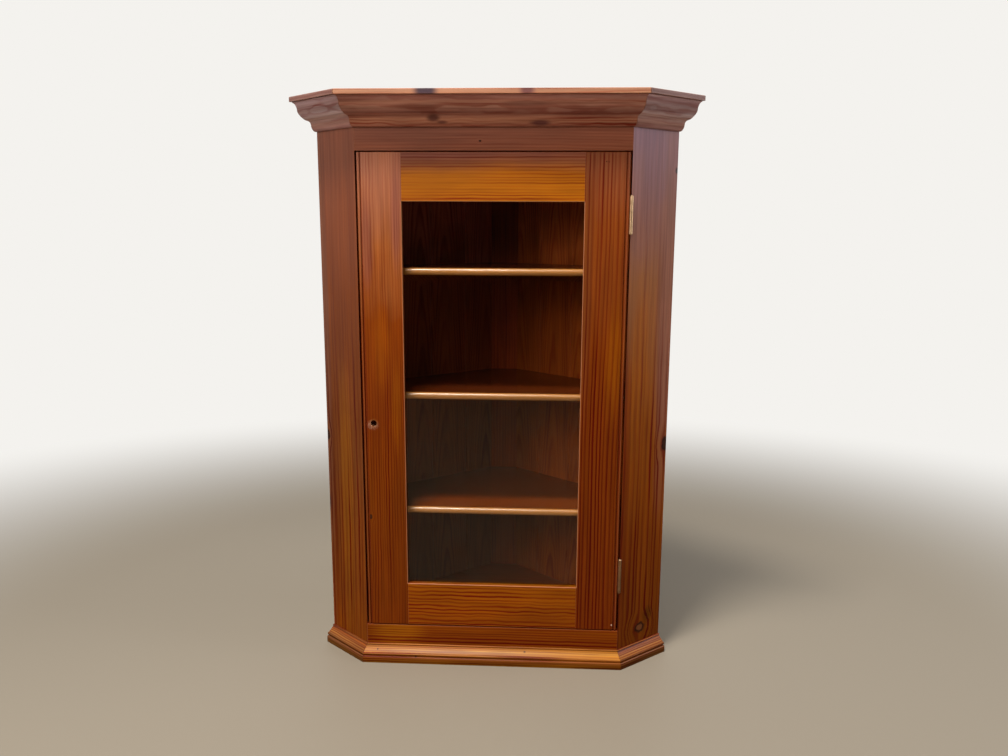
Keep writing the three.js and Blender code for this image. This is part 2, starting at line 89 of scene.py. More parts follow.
turned = (
    Matrix.Rotation(-YAW, 3, "Z")
    @ Matrix.Rotation(math.pi / 2 - PITCH, 3, "X")
    @ Matrix.Rotation(ROLL, 3, "Z")
)
bpy.ops.object.camera_add(
    location=(CAMERA_X, FACE - CAMERA_AWAY, CAMERA_Z), rotation=turned.to_euler()
)
camera = bpy.context.active_object
camera.data.sensor_width = SENSOR_WIDTH
camera.data.lens = FOCAL_LENGTH / PICTURE_WIDTH * SENSOR_WIDTH
camera.data.shift_y = LENS_DROP / PICTURE_WIDTH
bpy.context.scene.camera = camera
print("lens", round(camera.data.lens, 2), "mm, shift", round(camera.data.shift_y, 4))

# %% [markdown]
# ## Lamps
# One bare bulb would give hard shadows and a single glint in the varnish. Broad flat lamps give
# soft shadows and a sheen, so four of them stand round the cupboard and face its middle: a strong
# one overhead, two in front on the left, and a cooler one on the right for the right side.

# %% Lamps
MIDDLE = Vector((0, 0, 0.55))


def soft_lamp(name, place, size, watts, colour):
    """A flat lamp that faces the middle of the cupboard."""
    place = Vector(place)
    aim = (place - MIDDLE).to_track_quat("Z", "Y").to_euler()
    bpy.ops.object.light_add(type="AREA", location=place, rotation=aim)
    lamp = bpy.context.active_object
    lamp.name = name
    lamp.data.shape = "RECTANGLE"
    lamp.data.size, lamp.data.size_y = size
    lamp.data.energy = watts
    lamp.data.color = colour
    print(name, watts, "W")


soft_lamp("overhead_lamp", (-0.45, -1.15, 3.2), (0.7, 0.5), 92, (1.0, 0.965, 0.92))
soft_lamp("front_lamp", (-1.3, -2.9, 2.3), (2.6, 1.6), 46, (1.0, 0.97, 0.93))
soft_lamp("left_lamp", (-2.0, -3.2, 1.6), (1.3, 1.1), 24, (1.0, 0.98, 0.96))
soft_lamp("right_lamp", (3.0, -0.2, 1.75), (1.8, 1.5), 38, (0.93, 0.95, 1.0))
bpy.context.scene.view_settings.view_transform = "Standard"


# %% [markdown]
# ## Building materials from nodes
# A picture of wood would do for one view, but it repeats and it ends at every edge. Here every
# finish is made of nodes that read the object's own coordinates, so the grain runs through each
# board as through real wood. This small class keeps the node code short.

# %% A helper for materials
class Finish:
    """One material, or the sky, with short ways to add nodes and link them."""

    def __init__(self, owner):
        owner.use_nodes = True
        self.owner = owner
        self.tree = owner.node_tree
        self.tree.nodes.clear()

    def feed(self, socket, value):
        """Links a socket to another node's output, or gives it a plain value."""
        if isinstance(value, bpy.types.NodeSocket):
            self.tree.links.new(value, socket)
        else:
            socket.default_value = value

    def node(self, kind, settings=None, **inputs):
        made = self.tree.nodes.new("ShaderNode" + kind)
        for key, value in (settings or {}).items():
            setattr(made, key, value)
        for key, value in inputs.items():
            self.feed(made.inputs[key.replace("_", " ")], value)
        return made

    def math(self, operation, *values):
        made = self.node("Math", {"operation": operation})
        for socket, value in zip(made.inputs, values):
            self.feed(socket, value)
        return made.outputs[0]

    def length(self, *steps):
        """How far it is when these steps are taken at right angles."""
        squares = [self.math("MULTIPLY", step, step) for step in steps]
        total = squares[0]
        for square in squares[1:]:
            total = self.math("ADD", total, square)
        return self.math("SQRT", total)

    def noise(self, where, scale, detail=2.0):
        """Noise from 0 to 1, mostly near a half."""
        return self.node("TexNoise", Vector=where, Scale=scale, Detail=detail).outputs[0]

    def about_zero(self, noise):
        return self.math("SUBTRACT", noise, 0.5)

    def draw(self, number):
        """A value from 0 to 1 that is drawn once for each whole number."""
        return self.node("TexWhiteNoise", {"noise_dimensions": "1D"}, W=number).outputs["Value"]

    def span(self, value, start, end, low=0.0, high=1.0):
        """Smooth change from low to high as value goes from start to end."""
        made = self.node("MapRange", {"interpolation_type": "SMOOTHSTEP"}, Value=value,
                         From_Min=start, From_Max=end, To_Min=low, To_Max=high)
        return made.outputs[0]

    def blend(self, share, first, second, way="MIX"):
        """A share of the second colour over the first one."""
        made = self.node("Mix", {"data_type": "RGBA", "blend_type": way})
        # A Mix node has sockets for numbers, vectors and colours, and these are the ones for colours
        for index, value in ((0, share), (6, first), (7, second)):
            self.feed(made.inputs[index], value)
        return made.outputs[2]

    def mix(self, share, first, second):
        """A share of the second shader over the first one."""
        made = self.node("MixShader")
        for socket, value in zip(made.inputs, (share, first.outputs[0], second.outputs[0])):
            self.feed(socket, value)
        return made

    def ray_is(self, *kinds):
        """1 for a ray of one of these kinds, 0 for any other."""
        ray = self.node("LightPath")
        found = 0.0
        for kind in kinds:
            found = self.math("MAXIMUM", found, ray.outputs[f"Is {kind} Ray"])
        return found

    def surface(self, shader):
        """Ends the nodes with this shader and hands back the material."""
        self.node("OutputMaterial", Surface=shader.outputs[0])
        return self.owner


def new_finish(name):
    return Finish(bpy.data.materials.new(name))


def paint(red, green, blue):
    """A colour as it looks on a screen, 0 to 255, as the linear value that nodes use."""
    def linear(level):
        share = level / 255
        return share / 12.92 if share <= 0.04045 else ((share + 0.055) / 1.055) ** 2.4
    return (linear(red), linear(green), linear(blue), 1.0)


# %% [markdown]
# ## Floor
# The cupboard stands on a plain pale floor. A small plane would show its far edge, so this one is
# large, and melts into the backdrop before it ends. Varnish mirrors the floor at a slant, which
# would make the low boards milky, so reflections see no lit floor there but a fixed dark warm glow,
# like a cloth laid over it: a painted reflection.

# %% Floor
BACKDROP = paint(244, 242, 238)
FLOOR_COLOUR, FLOOR_ROUGHNESS = paint(146, 135, 118), 0.6
FLOOR_WIDTH = 40
FADE = (1.0, 2.6)          # distances at which the floor starts to fade, and has gone
MIRROR_REACH = 0.36        # reflections see the floor fade at nearly three times those distances
REFLECTED_GLOW_FRONT, REFLECTED_GLOW_SIDE = (0.26, 0.15, 0.05, 1), (0.05, 0.032, 0.02, 1)
REFLECTED_GLOW_EDGE = (-0.7, -0.4)  # depths between which the front glow gives way to the darker one

floor_finish = new_finish("pale_floor")
floor_place = floor_finish.node("TexCoord").outputs["Object"]
to_middle = floor_finish.node("VectorMath", {"operation": "LENGTH"}, Vector=floor_place)
reach = floor_finish.span(floor_finish.ray_is("Camera"), 0, 1, MIRROR_REACH, 1)
fade = floor_finish.span(floor_finish.math("MULTIPLY", to_middle.outputs["Value"], reach), *FADE)
fade = floor_finish.math("MULTIPLY", fade, floor_finish.ray_is("Camera", "Glossy", "Transmission"))
bare_floor = floor_finish.node("BsdfPrincipled", Base_Color=FLOOR_COLOUR, Roughness=FLOOR_ROUGHNESS)
_, floor_depth, _ = floor_finish.node("SeparateXYZ", Vector=floor_place).outputs
# Reflection rays see this glow in place of the lit floor: a painted reflection.
reflected_glow_colour = floor_finish.blend(floor_finish.span(floor_depth, *REFLECTED_GLOW_EDGE), REFLECTED_GLOW_FRONT, REFLECTED_GLOW_SIDE)
reflected_glow = floor_finish.node("Emission", Color=reflected_glow_colour)
mirrored = floor_finish.math(
    "GREATER_THAN", floor_finish.ray_is("Glossy"), floor_finish.ray_is("Transmission")
)
ground = floor_finish.mix(mirrored, bare_floor, reflected_glow)
beyond = floor_finish.node("Emission", Color=BACKDROP)

bpy.ops.mesh.primitive_plane_add(size=FLOOR_WIDTH, location=(0, 0, 0))
floor = bpy.context.active_object
floor.name = "studio_floor"
floor.data.materials.append(floor_finish.surface(floor_finish.mix(fade, ground, beyond)))
print(floor.name, FLOOR_WIDTH, "m wide, gone at", FADE[1], "m")

# %% [markdown]
# ## A dark card
# The pane mirrors what stands behind the camera. Left alone that is the bright backdrop, and the
# shelves would drown in it. Turning the backdrop down would spoil the picture, so a dark card
# stands there instead, as in a photographer's studio. The camera and the lamps don't see it.

# %% A dark card
CARD_PLACE, CARD_WIDTH, CARD_HEIGHT = (0, -3.4, 0.8), 7, 1.6
CARD_GLOW = (0.012, 0.010, 0.009, 1)

card_finish = new_finish("mirror_card")
bpy.ops.mesh.primitive_plane_add(size=1, location=CARD_PLACE, rotation=(math.pi / 2, 0, 0))
card = bpy.context.active_object
card.name = "studio_card"
card.scale = (CARD_WIDTH, CARD_HEIGHT, 1)
card.data.materials.append(card_finish.surface(card_finish.node("Emission", Color=CARD_GLOW)))
card.visible_camera = card.visible_diffuse = card.visible_shadow = False
print(card.name, CARD_WIDTH, "x", CARD_HEIGHT, "m")

# %% [markdown]
# ## Sky
# The sky does two jobs. Seen straight, in a reflection or through glass, it is the pale backdrop.
# What it gives the boards is a little cool light from all round, so that no corner is quite black.
# One strength can't do both, so the kind of ray chooses between two.

# %% Sky
SKY_COLOUR, SKY_STRENGTH = (0.96, 0.97, 1.0, 1.0), 0.16

world = bpy.data.worlds.new("studio_sky")
bpy.context.scene.world = world
sky = Finish(world)
ambient = sky.node("Background", Color=SKY_COLOUR, Strength=SKY_STRENGTH)
backdrop = sky.node("Background", Color=BACKDROP)
either = sky.mix(sky.ray_is("Camera", "Glossy", "Transmission"), ambient, backdrop)
sky.node("OutputWorld", Surface=either.outputs[0])
print(world.name, "lights the boards at", SKY_STRENGTH)

# %% [markdown]
# ## Pine: which way the grain runs
# Some of these boards stand and some lie level, and those of the two sides are turned by an eighth
# of a circle. One recipe serves them all if the coordinates are turned first, so that X goes across
# the board, Y through it and Z along it. A Mapping node with one of these turns does that.

# %% Directions of the grain
EIGHTH_TURN = math.pi / 4


def grain_turn(way, angle):
    """Turns object coordinates so that X goes across the board, Y through it and Z along it."""
    c, s = math.cos(angle), math.sin(angle)
    upright = ((c, s, 0), (-s, c, 0), (0, 0, 1))
    level = ((0, 0, 1), (s, -c, 0), (c, s, 0))
    return Matrix(upright if way == "upright" else level).to_euler()


FRONT_UP, FRONT_LEVEL = grain_turn("upright", 0.0), grain_turn("level", 0.0)
RIGHT_UP, RIGHT_LEVEL = grain_turn("upright", EIGHTH_TURN), grain_turn("level", EIGHTH_TURN)
LEFT_UP, LEFT_LEVEL = grain_turn("upright", -EIGHTH_TURN), grain_turn("level", -EIGHTH_TURN)
print("a level board of the front is turned by", [round(math.degrees(a)) for a in FRONT_LEVEL])

# %% [markdown]
# ## Pine: noise along the grain
# Everything that is uneven in wood is uneven along its fibres: streaks, bands and clouds of stain
# are long and narrow. Plain noise is round. It is drawn out by counting only a small share of the
# board's length, and a seed slides it along, so that the boards differ.

# %% Noise along the grain
# Share of the length that counts, scale and detail of each kind of noise
GRAIN_NOISE = {
    "fibre": (0.02, 520.0, 2.0),
    "streak": (0.035, 160.0, 2.0),
    "band": (0.10, 42.0, 2.0),
    "cloud": (0.5, 14.0, 3.0),
    "fading": (0.12, 30.0, 2.0),
    "long_bend": (0.15, 8.0, 1.0),
    "short_bend": (0.5, 45.0, 1.0),
}


def grain_noise(finish, place, seed, kind):
    """One kind of noise at a place that is given across, through and along the board."""
    share, scale, detail = GRAIN_NOISE[kind]
    across, through, along = place
    slid = finish.math("MULTIPLY_ADD", along, share, seed)
    drawn_out = finish.node("CombineXYZ", X=across, Y=through, Z=slid)
    return finish.noise(drawn_out.outputs[0], scale, detail)


print(len(GRAIN_NOISE), "kinds of noise")

# %% [markdown]
# ## Pine: the rings
# Pine grows broad pale wood in spring and a narrow dark line in late summer. A board is a slice
# through a stack of long tubes, so its pattern is the distance to the middle of the tree, the
# pith, cut into years. Painted stripes would look alike on every face. Rings worked out from the
# distance turn into arches, stripes and end grain by themselves. Slow noise bends the tubes.

# %% Rings
YEARS_CHANGE = 60.0     # scale on which good and bad years take turns
DARKENS = (0.35, 0.75)  # part of a year in which the wood turns dark
PALES = (0.85, 1.0)     # and in which it turns pale again
FAINTEST_LINE = 0.4     # the line of a poor year, as a share of the line of a good one
FADES = (0.35, 0.62)    # levels of noise between which a line goes from faint to full


def ring_lines(finish, place, pith, seed, ring=0.005, sway=0.012, ripple=0.0012, lean=0.0, fade=0.35):
    """Dark lines of late wood, 1 on a full line. Ring is the width of a year, sway and ripple are the
    reach of the long and the short bends, lean is the tilt of the tree, and fade is what a faint line
    keeps."""
    across, through, along = place
    distance = finish.length(
        finish.math("SUBTRACT", across, pith[0]), finish.math("SUBTRACT", through, pith[1])
    )
    for kind, size in (("long_bend", sway), ("short_bend", ripple)):
        bend = finish.about_zero(grain_noise(finish, place, seed, kind))
        distance = finish.math("ADD", distance, finish.math("MULTIPLY", bend, 2 * size))
    distance = finish.math("ADD", distance, finish.math("MULTIPLY", along, lean))
    change = finish.node("TexNoise", {"noise_dimensions": "1D"}, Scale=1.0, Detail=1.0,
                         W=finish.math("MULTIPLY", distance, YEARS_CHANGE))
    years = finish.math("ADD", finish.math("DIVIDE", distance, ring), change.outputs[0])
    year = finish.math("FRACT", years)
    line = finish.math("MULTIPLY", finish.span(year, *DARKENS), finish.span(year, *PALES, 1.0, 0.0))
    good = finish.draw(finish.math("FLOOR", years))
    weight = finish.math("MULTIPLY_ADD", good, 1 - FAINTEST_LINE, FAINTEST_LINE)
    line = finish.math("MULTIPLY", line, weight)
    kept = finish.span(grain_noise(finish, place, seed, "fading"), *FADES, fade, 1.0)
    return finish.math("MULTIPLY", line, kept)


# %% [markdown]
# ## Pine: matched boards
# The two backs are lined with narrow boards, and neighbours were cut from different places in the
# tree. Each could have a material of its own, but one will do: the number of the board, counted
# from a joint, draws the place that it is cut from.

# %% Matched boards
MOVE_ACROSS, MOVE_ALONG = 3.0, 7.0  # how far apart in the tree the boards are cut at most
PITH_WANDERS = 0.4                  # how far the arches leave the middle, as a share of the width


def cut_apart(finish, across, along, matched):
    """Moves each matched board to a place of its own in the tree, and says where its pith is."""
    first_joint, width = matched
    steps = finish.math("DIVIDE", finish.math("SUBTRACT", across, first_joint), width)
    number = finish.math("FLOOR", steps)
    draw = finish.draw(number)
    middle = finish.math("MULTIPLY_ADD", number, width, first_joint + width / 2)
    pith = finish.math("MULTIPLY_ADD", finish.about_zero(draw), PITH_WANDERS * width, middle)
    moved = finish.math("MULTIPLY", draw, MOVE_ACROSS)
    across = finish.math("ADD", across, moved)
    along = finish.math("ADD", along, finish.math("MULTIPLY", draw, MOVE_ALONG))
    return across, along, finish.math("ADD", pith, moved)


# %% [markdown]
# ## Pine: knots
# A knot is a branch that the tree grew round. The rings part and flow past it, a thin black ring
# of bark borders it, and its heart shows where it is large. A dark spot alone would look painted
# on, so each knot also pushes the coordinates aside before the rings are worked out. A knot has a
# place, a size, a squeeze that flattens it if it is over 1, and the share of its heart that shows.

# %% Knots
Knot = namedtuple("Knot", "across along size squeeze heart")

KNOT_BLACK, KNOT_HEART, KNOT_SHARE = paint(30, 15, 11), paint(120, 68, 36), 0.95
CRUMPLE, CRUMPLE_SCALE = 0.9, 130  # how uneven a knot's outline is
PUSH_SHARE = 0.85
PUSH_ENDS, BLACK_ENDS, HEART_ENDS = (0.5, 4.5), (0.8, 1.4), (0.5, 0.85)  # as shares of the knot's size


def fall(finish, away, ends, size, most):
    """The most at a knot's middle, and nothing past the second end."""
    return finish.span(away, ends[0] * size, ends[1] * size, most, 0.0)


def push_aside(finish, board, across, along, knots):
    """Makes the grain flow round the knots. Gives across, and where the black and hearts are."""
    black, heart = 0.0, 0.0
    for knot in knots:
        aside = finish.math("SUBTRACT", across, knot.across)
        past = finish.math("MULTIPLY", finish.math("SUBTRACT", along, knot.along), knot.squeeze)
        crumple = finish.about_zero(finish.noise(board, CRUMPLE_SCALE))
        away = finish.math("ADD", finish.length(aside, past),
                           finish.math("MULTIPLY", crumple, CRUMPLE * knot.size))
        push = fall(finish, away, PUSH_ENDS, knot.size, PUSH_SHARE)
        across = finish.math("SUBTRACT", across, finish.math("MULTIPLY", aside, push))
        black = finish.math("MAXIMUM", black, fall(finish, away, BLACK_ENDS, knot.size, 1.0))
        heart = finish.math("MAXIMUM", heart, fall(finish, away, HEART_ENDS, knot.size, knot.heart))
    return across, black, heart


# %% [markdown]
# ## Pine: the stain
# The stain is old and was never even: it is warmer here, duller there, and paler where it was
# handled. A ramp gives a board a few tones along its height, and noise blurs their borders. On some
# boards these tones also carry a painted sheen, highlight or shade. Soft patches then lay other
# colours over it, one of them a painted sheen, and some of them show only in flakes.

# %% Stain
Patch = namedtuple("Patch", "centre half colour share")  # place and half sizes: across, along, through

PATCH_ENDS, PATCH_UNEVEN = (0.35, 1.15), 0.7
FLAKE_SCALE, FLAKE_ENDS = 700.0, (0.5, 0.58)


def tones_by_height(finish, height, cloud, tones, drift):
    """The tones at their heights. Drift is the share of the whole height that the noise adds."""
    low, high = tones[0][0], tones[-1][0]
    level = finish.math("MULTIPLY_ADD", finish.about_zero(cloud), drift * (high - low), height)
    share = finish.node("MapRange", Value=level, From_Min=low, From_Max=high).outputs[0]
    ramp = finish.node("ValToRGB", Fac=share)
    stops = ramp.color_ramp.elements
    while len(stops) < len(tones):
        stops.new(0.5)
    for stop, (at, colour) in zip(stops, tones):
        stop.position = (at - low) / (high - low)
        stop.color = paint(*colour)
    return ramp.outputs["Color"]


def lay_patches(finish, stain, place, cloud, patches, flakes=None):
    """Lays soft uneven ellipses of other colours over the stain."""
    for patch in patches:
        steps = [finish.math("DIVIDE", finish.math("SUBTRACT", value, middle), half)
                 for value, middle, half in zip(place, patch.centre, patch.half)]
        uneven = finish.math("MULTIPLY", finish.about_zero(cloud), PATCH_UNEVEN)
        away = finish.math("ADD", finish.length(*steps), uneven)
        mask = finish.span(away, *PATCH_ENDS, 1.0, 0.0)
        if flakes is not None:
            mask = finish.math("MULTIPLY", mask, flakes)
        stain = finish.blend(finish.math("MULTIPLY", mask, patch.share), stain, paint(*patch.colour))
    return stain


# %% [markdown]
# ## Pine: shades, marks and bare wood
# Each kind of noise makes the wood a little lighter or darker. As numbers on the faces say, eased
# edges turn paler, partly worn and partly a painted highlight, faces in the gap round the door take
# a red that is partly stain and partly painted light, and the groove beside a stile's bead takes a
# painted shade. And some wood was never stained: the outside of the backs and the nose of a shelf.
# Their border is a plane through the board, ragged along the fibres.

# %% Shades, marks and bare wood
SHADE_ENDS, FIBRE_SHADE, DARKEST_FIBRE = (0.25, 0.75), 0.5, 0.75
BACK_FLAT = 0.222  # the flat behind the corner is bare wood from this depth on
RAW_BORDER, LATE_RAW_SHARE = 0.001, 0.72


def shaded(finish, colour, fibre, changes):
    """Makes the colour lighter and darker with the fibres and with each noise, by its change."""
    shade = finish.math("MULTIPLY_ADD", fibre, FIBRE_SHADE, DARKEST_FIBRE)
    for noise, change in changes:
        lighter_or_darker = finish.span(noise, *SHADE_ENDS, 1 + change, 1 - change)
        shade = finish.math("MULTIPLY", shade, lighter_or_darker)
    grey = finish.node("CombineColor", Red=shade, Green=shade, Blue=shade).outputs[0]
    return finish.blend(1.0, colour, grey, "MULTIPLY")


def marked(finish, colour, mark, share, mark_colour):
    """Lays another colour on the faces that carry a mark."""
    level = finish.node("Attribute", {"attribute_name": mark}).outputs["Fac"]
    return finish.blend(finish.math("MULTIPLY", level, share), colour, mark_colour)


def bare_past(finish, colour, raw, through, depth_in_room, fibre, dark):
    """Leaves the wood bare past a plane in the board, and on the flat behind the corner."""
    start, raw_colour = raw
    ragged = finish.math("MULTIPLY_ADD", fibre, RAW_BORDER, through)
    outside = finish.math("MAXIMUM", finish.span(ragged, start, start + RAW_BORDER),
                          finish.span(depth_in_room, BACK_FLAT, BACK_FLAT + RAW_BORDER))
    late_raw = paint(*[LATE_RAW_SHARE * level for level in raw_colour])
    return finish.blend(outside, colour, finish.blend(dark, paint(*raw_colour), late_raw))


# %% [markdown]
# ## Pine: a whole board
# Now the parts come together. The dark lines keep only a little of the stain's light, and most of
# it is red. The varnish has a low gloss that changes slightly, and a faint relief of the grain.

# %% A whole board
LATE_WOOD = (0.50, 0.09, 0.03, 1.0)  # how much of the stain's light the dark ring lines keep
BOLD_TO_FAINT = (0.40, 0.75)         # heights between which bold grain turns faint
STREAK_ENDS, STREAK_DARK, BAND_DARK = (0.5, 0.8), 0.16, 0.14
CLOUD_SHADE, BAND_SHADE, STREAK_SHADE = 0.08, 0.06, 0.07
# Paler eased edges: partly wear, partly a painted highlight.
PALE_WEAR_AND_HIGHLIGHT, WEAR_AND_HIGHLIGHT_SHARE = paint(196, 130, 88), 0.6
GAP_RED_AND_GROOVE_SHADE, GAP_SHARE = paint(122, 42, 14), 0.9  # red on the faces in the gap, partly stain and partly painted light; a painted shade in the bead's groove
GLOSS_CHANGE = 0.10
LINE_RELIEF, FIBRE_RELIEF, RELIEF_STRENGTH, RELIEF_HEIGHT = 0.6, 0.7, 0.2, 0.0004


def pine(name, run, tones, contrast=0.5, pith=(1.0, 0.1), seed=0.0, patches=(), flakes=(), knots=(),
         gloss=0.32, shine=0.12, streaks=1.0, drift=0.25, raw=None, matched=None, **rings):
    """Stained pine. A pair for contrast says how bold the grain is below and above. Raw says past
    which plane in the board the wood is bare, and its colour. Matched says where a joint is, and how
    wide the boards are."""
    finish = new_finish(name)
    place = finish.node("TexCoord").outputs["Object"]
    board = finish.node("Mapping", Vector=place, Rotation=run).outputs[0]
    across, through, along = finish.node("SeparateXYZ", Vector=board).outputs
    _, depth_in_room, height = finish.node("SeparateXYZ", Vector=place).outputs
    on_face = (across, along, through)
    if isinstance(contrast, tuple):
        contrast = finish.span(height, *BOLD_TO_FAINT, *contrast)
    if matched:
        across, along, nearest_pith = cut_apart(finish, across, along, matched)
        pith = (nearest_pith, pith[1])
    across, black, heart = push_aside(finish, board, across, along, knots)
    in_wood = (across, through, along)
    line = ring_lines(finish, in_wood, pith, seed, **rings)
    fibre, streak, band, cloud = (
        grain_noise(finish, in_wood, seed, kind) for kind in ("fibre", "streak", "band", "cloud")
    )

    # Stain
    stain = tones_by_height(finish, height, cloud, tones, drift)
    stain = lay_patches(finish, stain, on_face, cloud, patches)
    if flakes:
        flaked = finish.span(finish.noise(board, FLAKE_SCALE), *FLAKE_ENDS)
        stain = lay_patches(finish, stain, on_face, cloud, flakes, flaked)

    # Dark lines, shades and marks
    dark = finish.math("MULTIPLY", line, contrast)
    for noise, most in ((streak, STREAK_DARK), (band, BAND_DARK)):
        dark = finish.math("ADD", dark, finish.span(noise, *STREAK_ENDS, 0.0, most * streaks))
    colour = finish.blend(dark, stain, finish.blend(1.0, stain, LATE_WOOD, "MULTIPLY"))
    colour = shaded(finish, colour, fibre,
                    ((cloud, CLOUD_SHADE), (band, BAND_SHADE), (streak, STREAK_SHADE * streaks)))
    if knots:
        colour = finish.blend(finish.math("MULTIPLY", black, KNOT_SHARE), colour, KNOT_BLACK)
        colour = finish.blend(heart, colour, KNOT_HEART)
    colour = marked(finish, colour, "wear_and_highlight", WEAR_AND_HIGHLIGHT_SHARE, PALE_WEAR_AND_HIGHLIGHT)
    colour = marked(finish, colour, "gap", GAP_SHARE, GAP_RED_AND_GROOVE_SHADE)
    if raw:
        colour = bare_past(finish, colour, raw, through, depth_in_room, fibre, dark)

    # Varnish
    roughness = finish.math("MULTIPLY_ADD", cloud, GLOSS_CHANGE, gloss - GLOSS_CHANGE / 2)
    relief = finish.math("MULTIPLY_ADD", line, LINE_RELIEF, finish.math("MULTIPLY", fibre, FIBRE_RELIEF))
    bump = finish.node("Bump", Strength=RELIEF_STRENGTH, Distance=RELIEF_HEIGHT, Height=relief)
    return finish.surface(finish.node(
        "BsdfPrincipled", Base_Color=colour, Roughness=roughness, Normal=bump.outputs[0],
        Specular_IOR_Level=shine))


# %% [markdown]
# ## The two sides
# No two boards of this cupboard match, so each one gets its own tones, rings and knots. The sides
# are single wide boards. Both are paler and greyer at the top, partly their stain and partly a
# painted sheen, and there their grain is faint. The right one has a mauve patch of painted sheen
# high on its outer half, a large knot near the floor and two smaller ones at its outer edge.

# %% The two sides
woods = {}
# Tones by height. The greyer top is partly a painted sheen.
LEFT_SIDE_TONES_AND_SHEEN = [
    (0.0, (129, 64, 7)), (0.4, (112, 60, 25)), (0.7, (108, 48, 3)), (1.06, (131, 73, 49)),
]
woods["side_left"] = pine(
    "side_left_pine", LEFT_UP, LEFT_SIDE_TONES_AND_SHEEN, contrast=(1.3, 0.25), ring=0.0088, pith=(0.3, 0.1),
    sway=0.014, seed=1.3,
    patches=[
        Patch((-0.172, 0.55), (0.016, 0.5), (109, 65, 44), 0.7),
        Patch((-0.115, 0.30), (0.030, 0.30), (133, 78, 15), 0.6),
        Patch((-0.1775, 0.30), (0.005, 0.02), (62, 30, 32), 0.7),
    ],
    knots=[Knot(-0.1775, 0.4394, 0.0065, 0.7, 0.1)])
# Tones by height. The pale mauve top is partly a painted sheen.
RIGHT_SIDE_TONES_AND_SHEEN = [
    (0.0, (112, 54, 2)), (0.25, (126, 59, 3)), (0.5, (143, 74, 10)), (0.75, (143, 86, 45)),
    (1.06, (140, 99, 111)),
]
woods["side_right"] = pine(
    "side_right_pine", RIGHT_UP, RIGHT_SIDE_TONES_AND_SHEEN, contrast=(1.8, 0.3), ring=0.0090,
    pith=(-0.3, 0.1), sway=0.014, seed=2.1,
    patches=[
        # A mauve patch of painted sheen, high on the outer half.
        Patch((0.165, 0.68), (0.032, 0.42), (142, 91, 74), 0.75),
        Patch((0.090, 0.60), (0.030, 0.15), (150, 80, 8), 0.6),
        Patch((0.060, 0.35), (0.016, 0.35), (113, 41, 2), 0.7),
        Patch((0.142, 0.086), (0.016, 0.02), (71, 39, 3), 0.6),
    ],
    knots=[
        Knot(0.1200, 0.0634, 0.0125, 1.25, 0.85),
        Knot(0.1768, 0.9466, 0.003, 0.7, 0.1),
        Knot(0.1755, 0.4325, 0.0085, 0.7, 0.12),
    ])
print("made", list(woods))

# %% [markdown]
# ## The rails of the front
# The rail above the door has fine faint lines and one small dark spot. The rail below it is cut
# from a coarser board, so its rings are wider and much darker.

# %% The rails of the front
woods["frieze"] = pine(
    "frieze_pine", FRONT_LEVEL, [(0.975, (129, 72, 48)), (1.06, (127, 77, 60))], contrast=0.45,
    ring=0.0045, pith=(1.3, 0.1), seed=3.7, knots=[Knot(0.992, -0.022, 0.0015, 0.7, 0.0)])
woods["bottom_rail"] = pine(
    "bottom_rail_pine", FRONT_LEVEL, [(0.0, (112, 48, 2)), (0.075, (124, 58, 2))], contrast=1.4,
    ring=0.0062, pith=(0.3, 0.1), seed=4.4,
    patches=[Patch((0.06, -0.19), (0.03, 0.06), (158, 94, 4), 0.6)])
print(len(woods), "woods so far")

# %% [markdown]
# ## The stiles of the door
# The left stile is paler and pinker at the top, partly its stain and partly a painted sheen, and
# it is flaked where it was handled, round the hole for the knob. The right stile has bold straight
# stripes, two small dark dents at its top and a pale dot at its foot.

# %% The stiles of the door
DENT_DARK, DOT_PALE = (40, 18, 10), (225, 190, 160)
# Tones by height. The pinker top is partly a painted sheen.
LEFT_STILE_TONES_AND_SHEEN = [
    (0.07, (111, 47, 2)), (0.35, (113, 51, 2)), (0.5, (114, 47, 2)), (0.68, (125, 54, 2)),
    (0.80, (153, 86, 39)), (0.97, (161, 100, 74)),
]
woods["stile_left"] = pine(
    "stile_left_pine", FRONT_UP, LEFT_STILE_TONES_AND_SHEEN, contrast=(1.4, 0.6), ring=0.0047, pith=(0.6, 0.1),
    sway=0.015, seed=5.2,
    patches=[
        Patch((-0.205, 0.62), (0.02, 0.10), (142, 69, 2), 0.6),
        Patch((-0.230, 0.82), (0.014, 0.10), (121, 66, 53), 0.6),
        Patch((-0.175, 0.86), (0.012, 0.11), (129, 73, 62), 0.6),
        Patch((-0.180, 0.52), (0.012, 0.10), (138, 72, 2), 0.5),
        Patch((-0.2245, 0.4805), (0.0105, 0.0105), (154, 95, 21), 0.45),
    ],
    flakes=[Patch((-0.2265, 0.4775), (0.013, 0.011), (214, 176, 148), 0.8)],
    knots=[Knot(-0.2346, 0.296, 0.0028, 0.7, 0.2)])
RIGHT_STILE_TONES = [
    (0.07, (106, 42, 2)), (0.4, (110, 46, 2)), (0.62, (116, 49, 2)), (0.85, (129, 62, 17)),
    (0.97, (133, 72, 41)),
]
woods["stile_right"] = pine(
    "stile_right_pine", FRONT_UP, RIGHT_STILE_TONES, contrast=(1.7, 1.0), ring=0.0072,
    pith=(-0.6, 0.1), sway=0.012, ripple=0.0006, seed=6.6, fade=0.6,
    patches=[
        Patch((0.170, 0.75), (0.014, 0.3), (110, 56, 22), 0.7),
        Patch((0.225, 0.60), (0.02, 0.14), (136, 70, 2), 0.6),
        Patch((0.2018, 0.957), (0.0016, 0.0012), DENT_DARK, 0.95),
        Patch((0.2060, 0.9565), (0.0014, 0.001), DENT_DARK, 0.95),
        Patch((0.235, 0.086), (0.0017, 0.0017), DOT_PALE, 0.95),
    ])
print(len(woods), "woods so far")

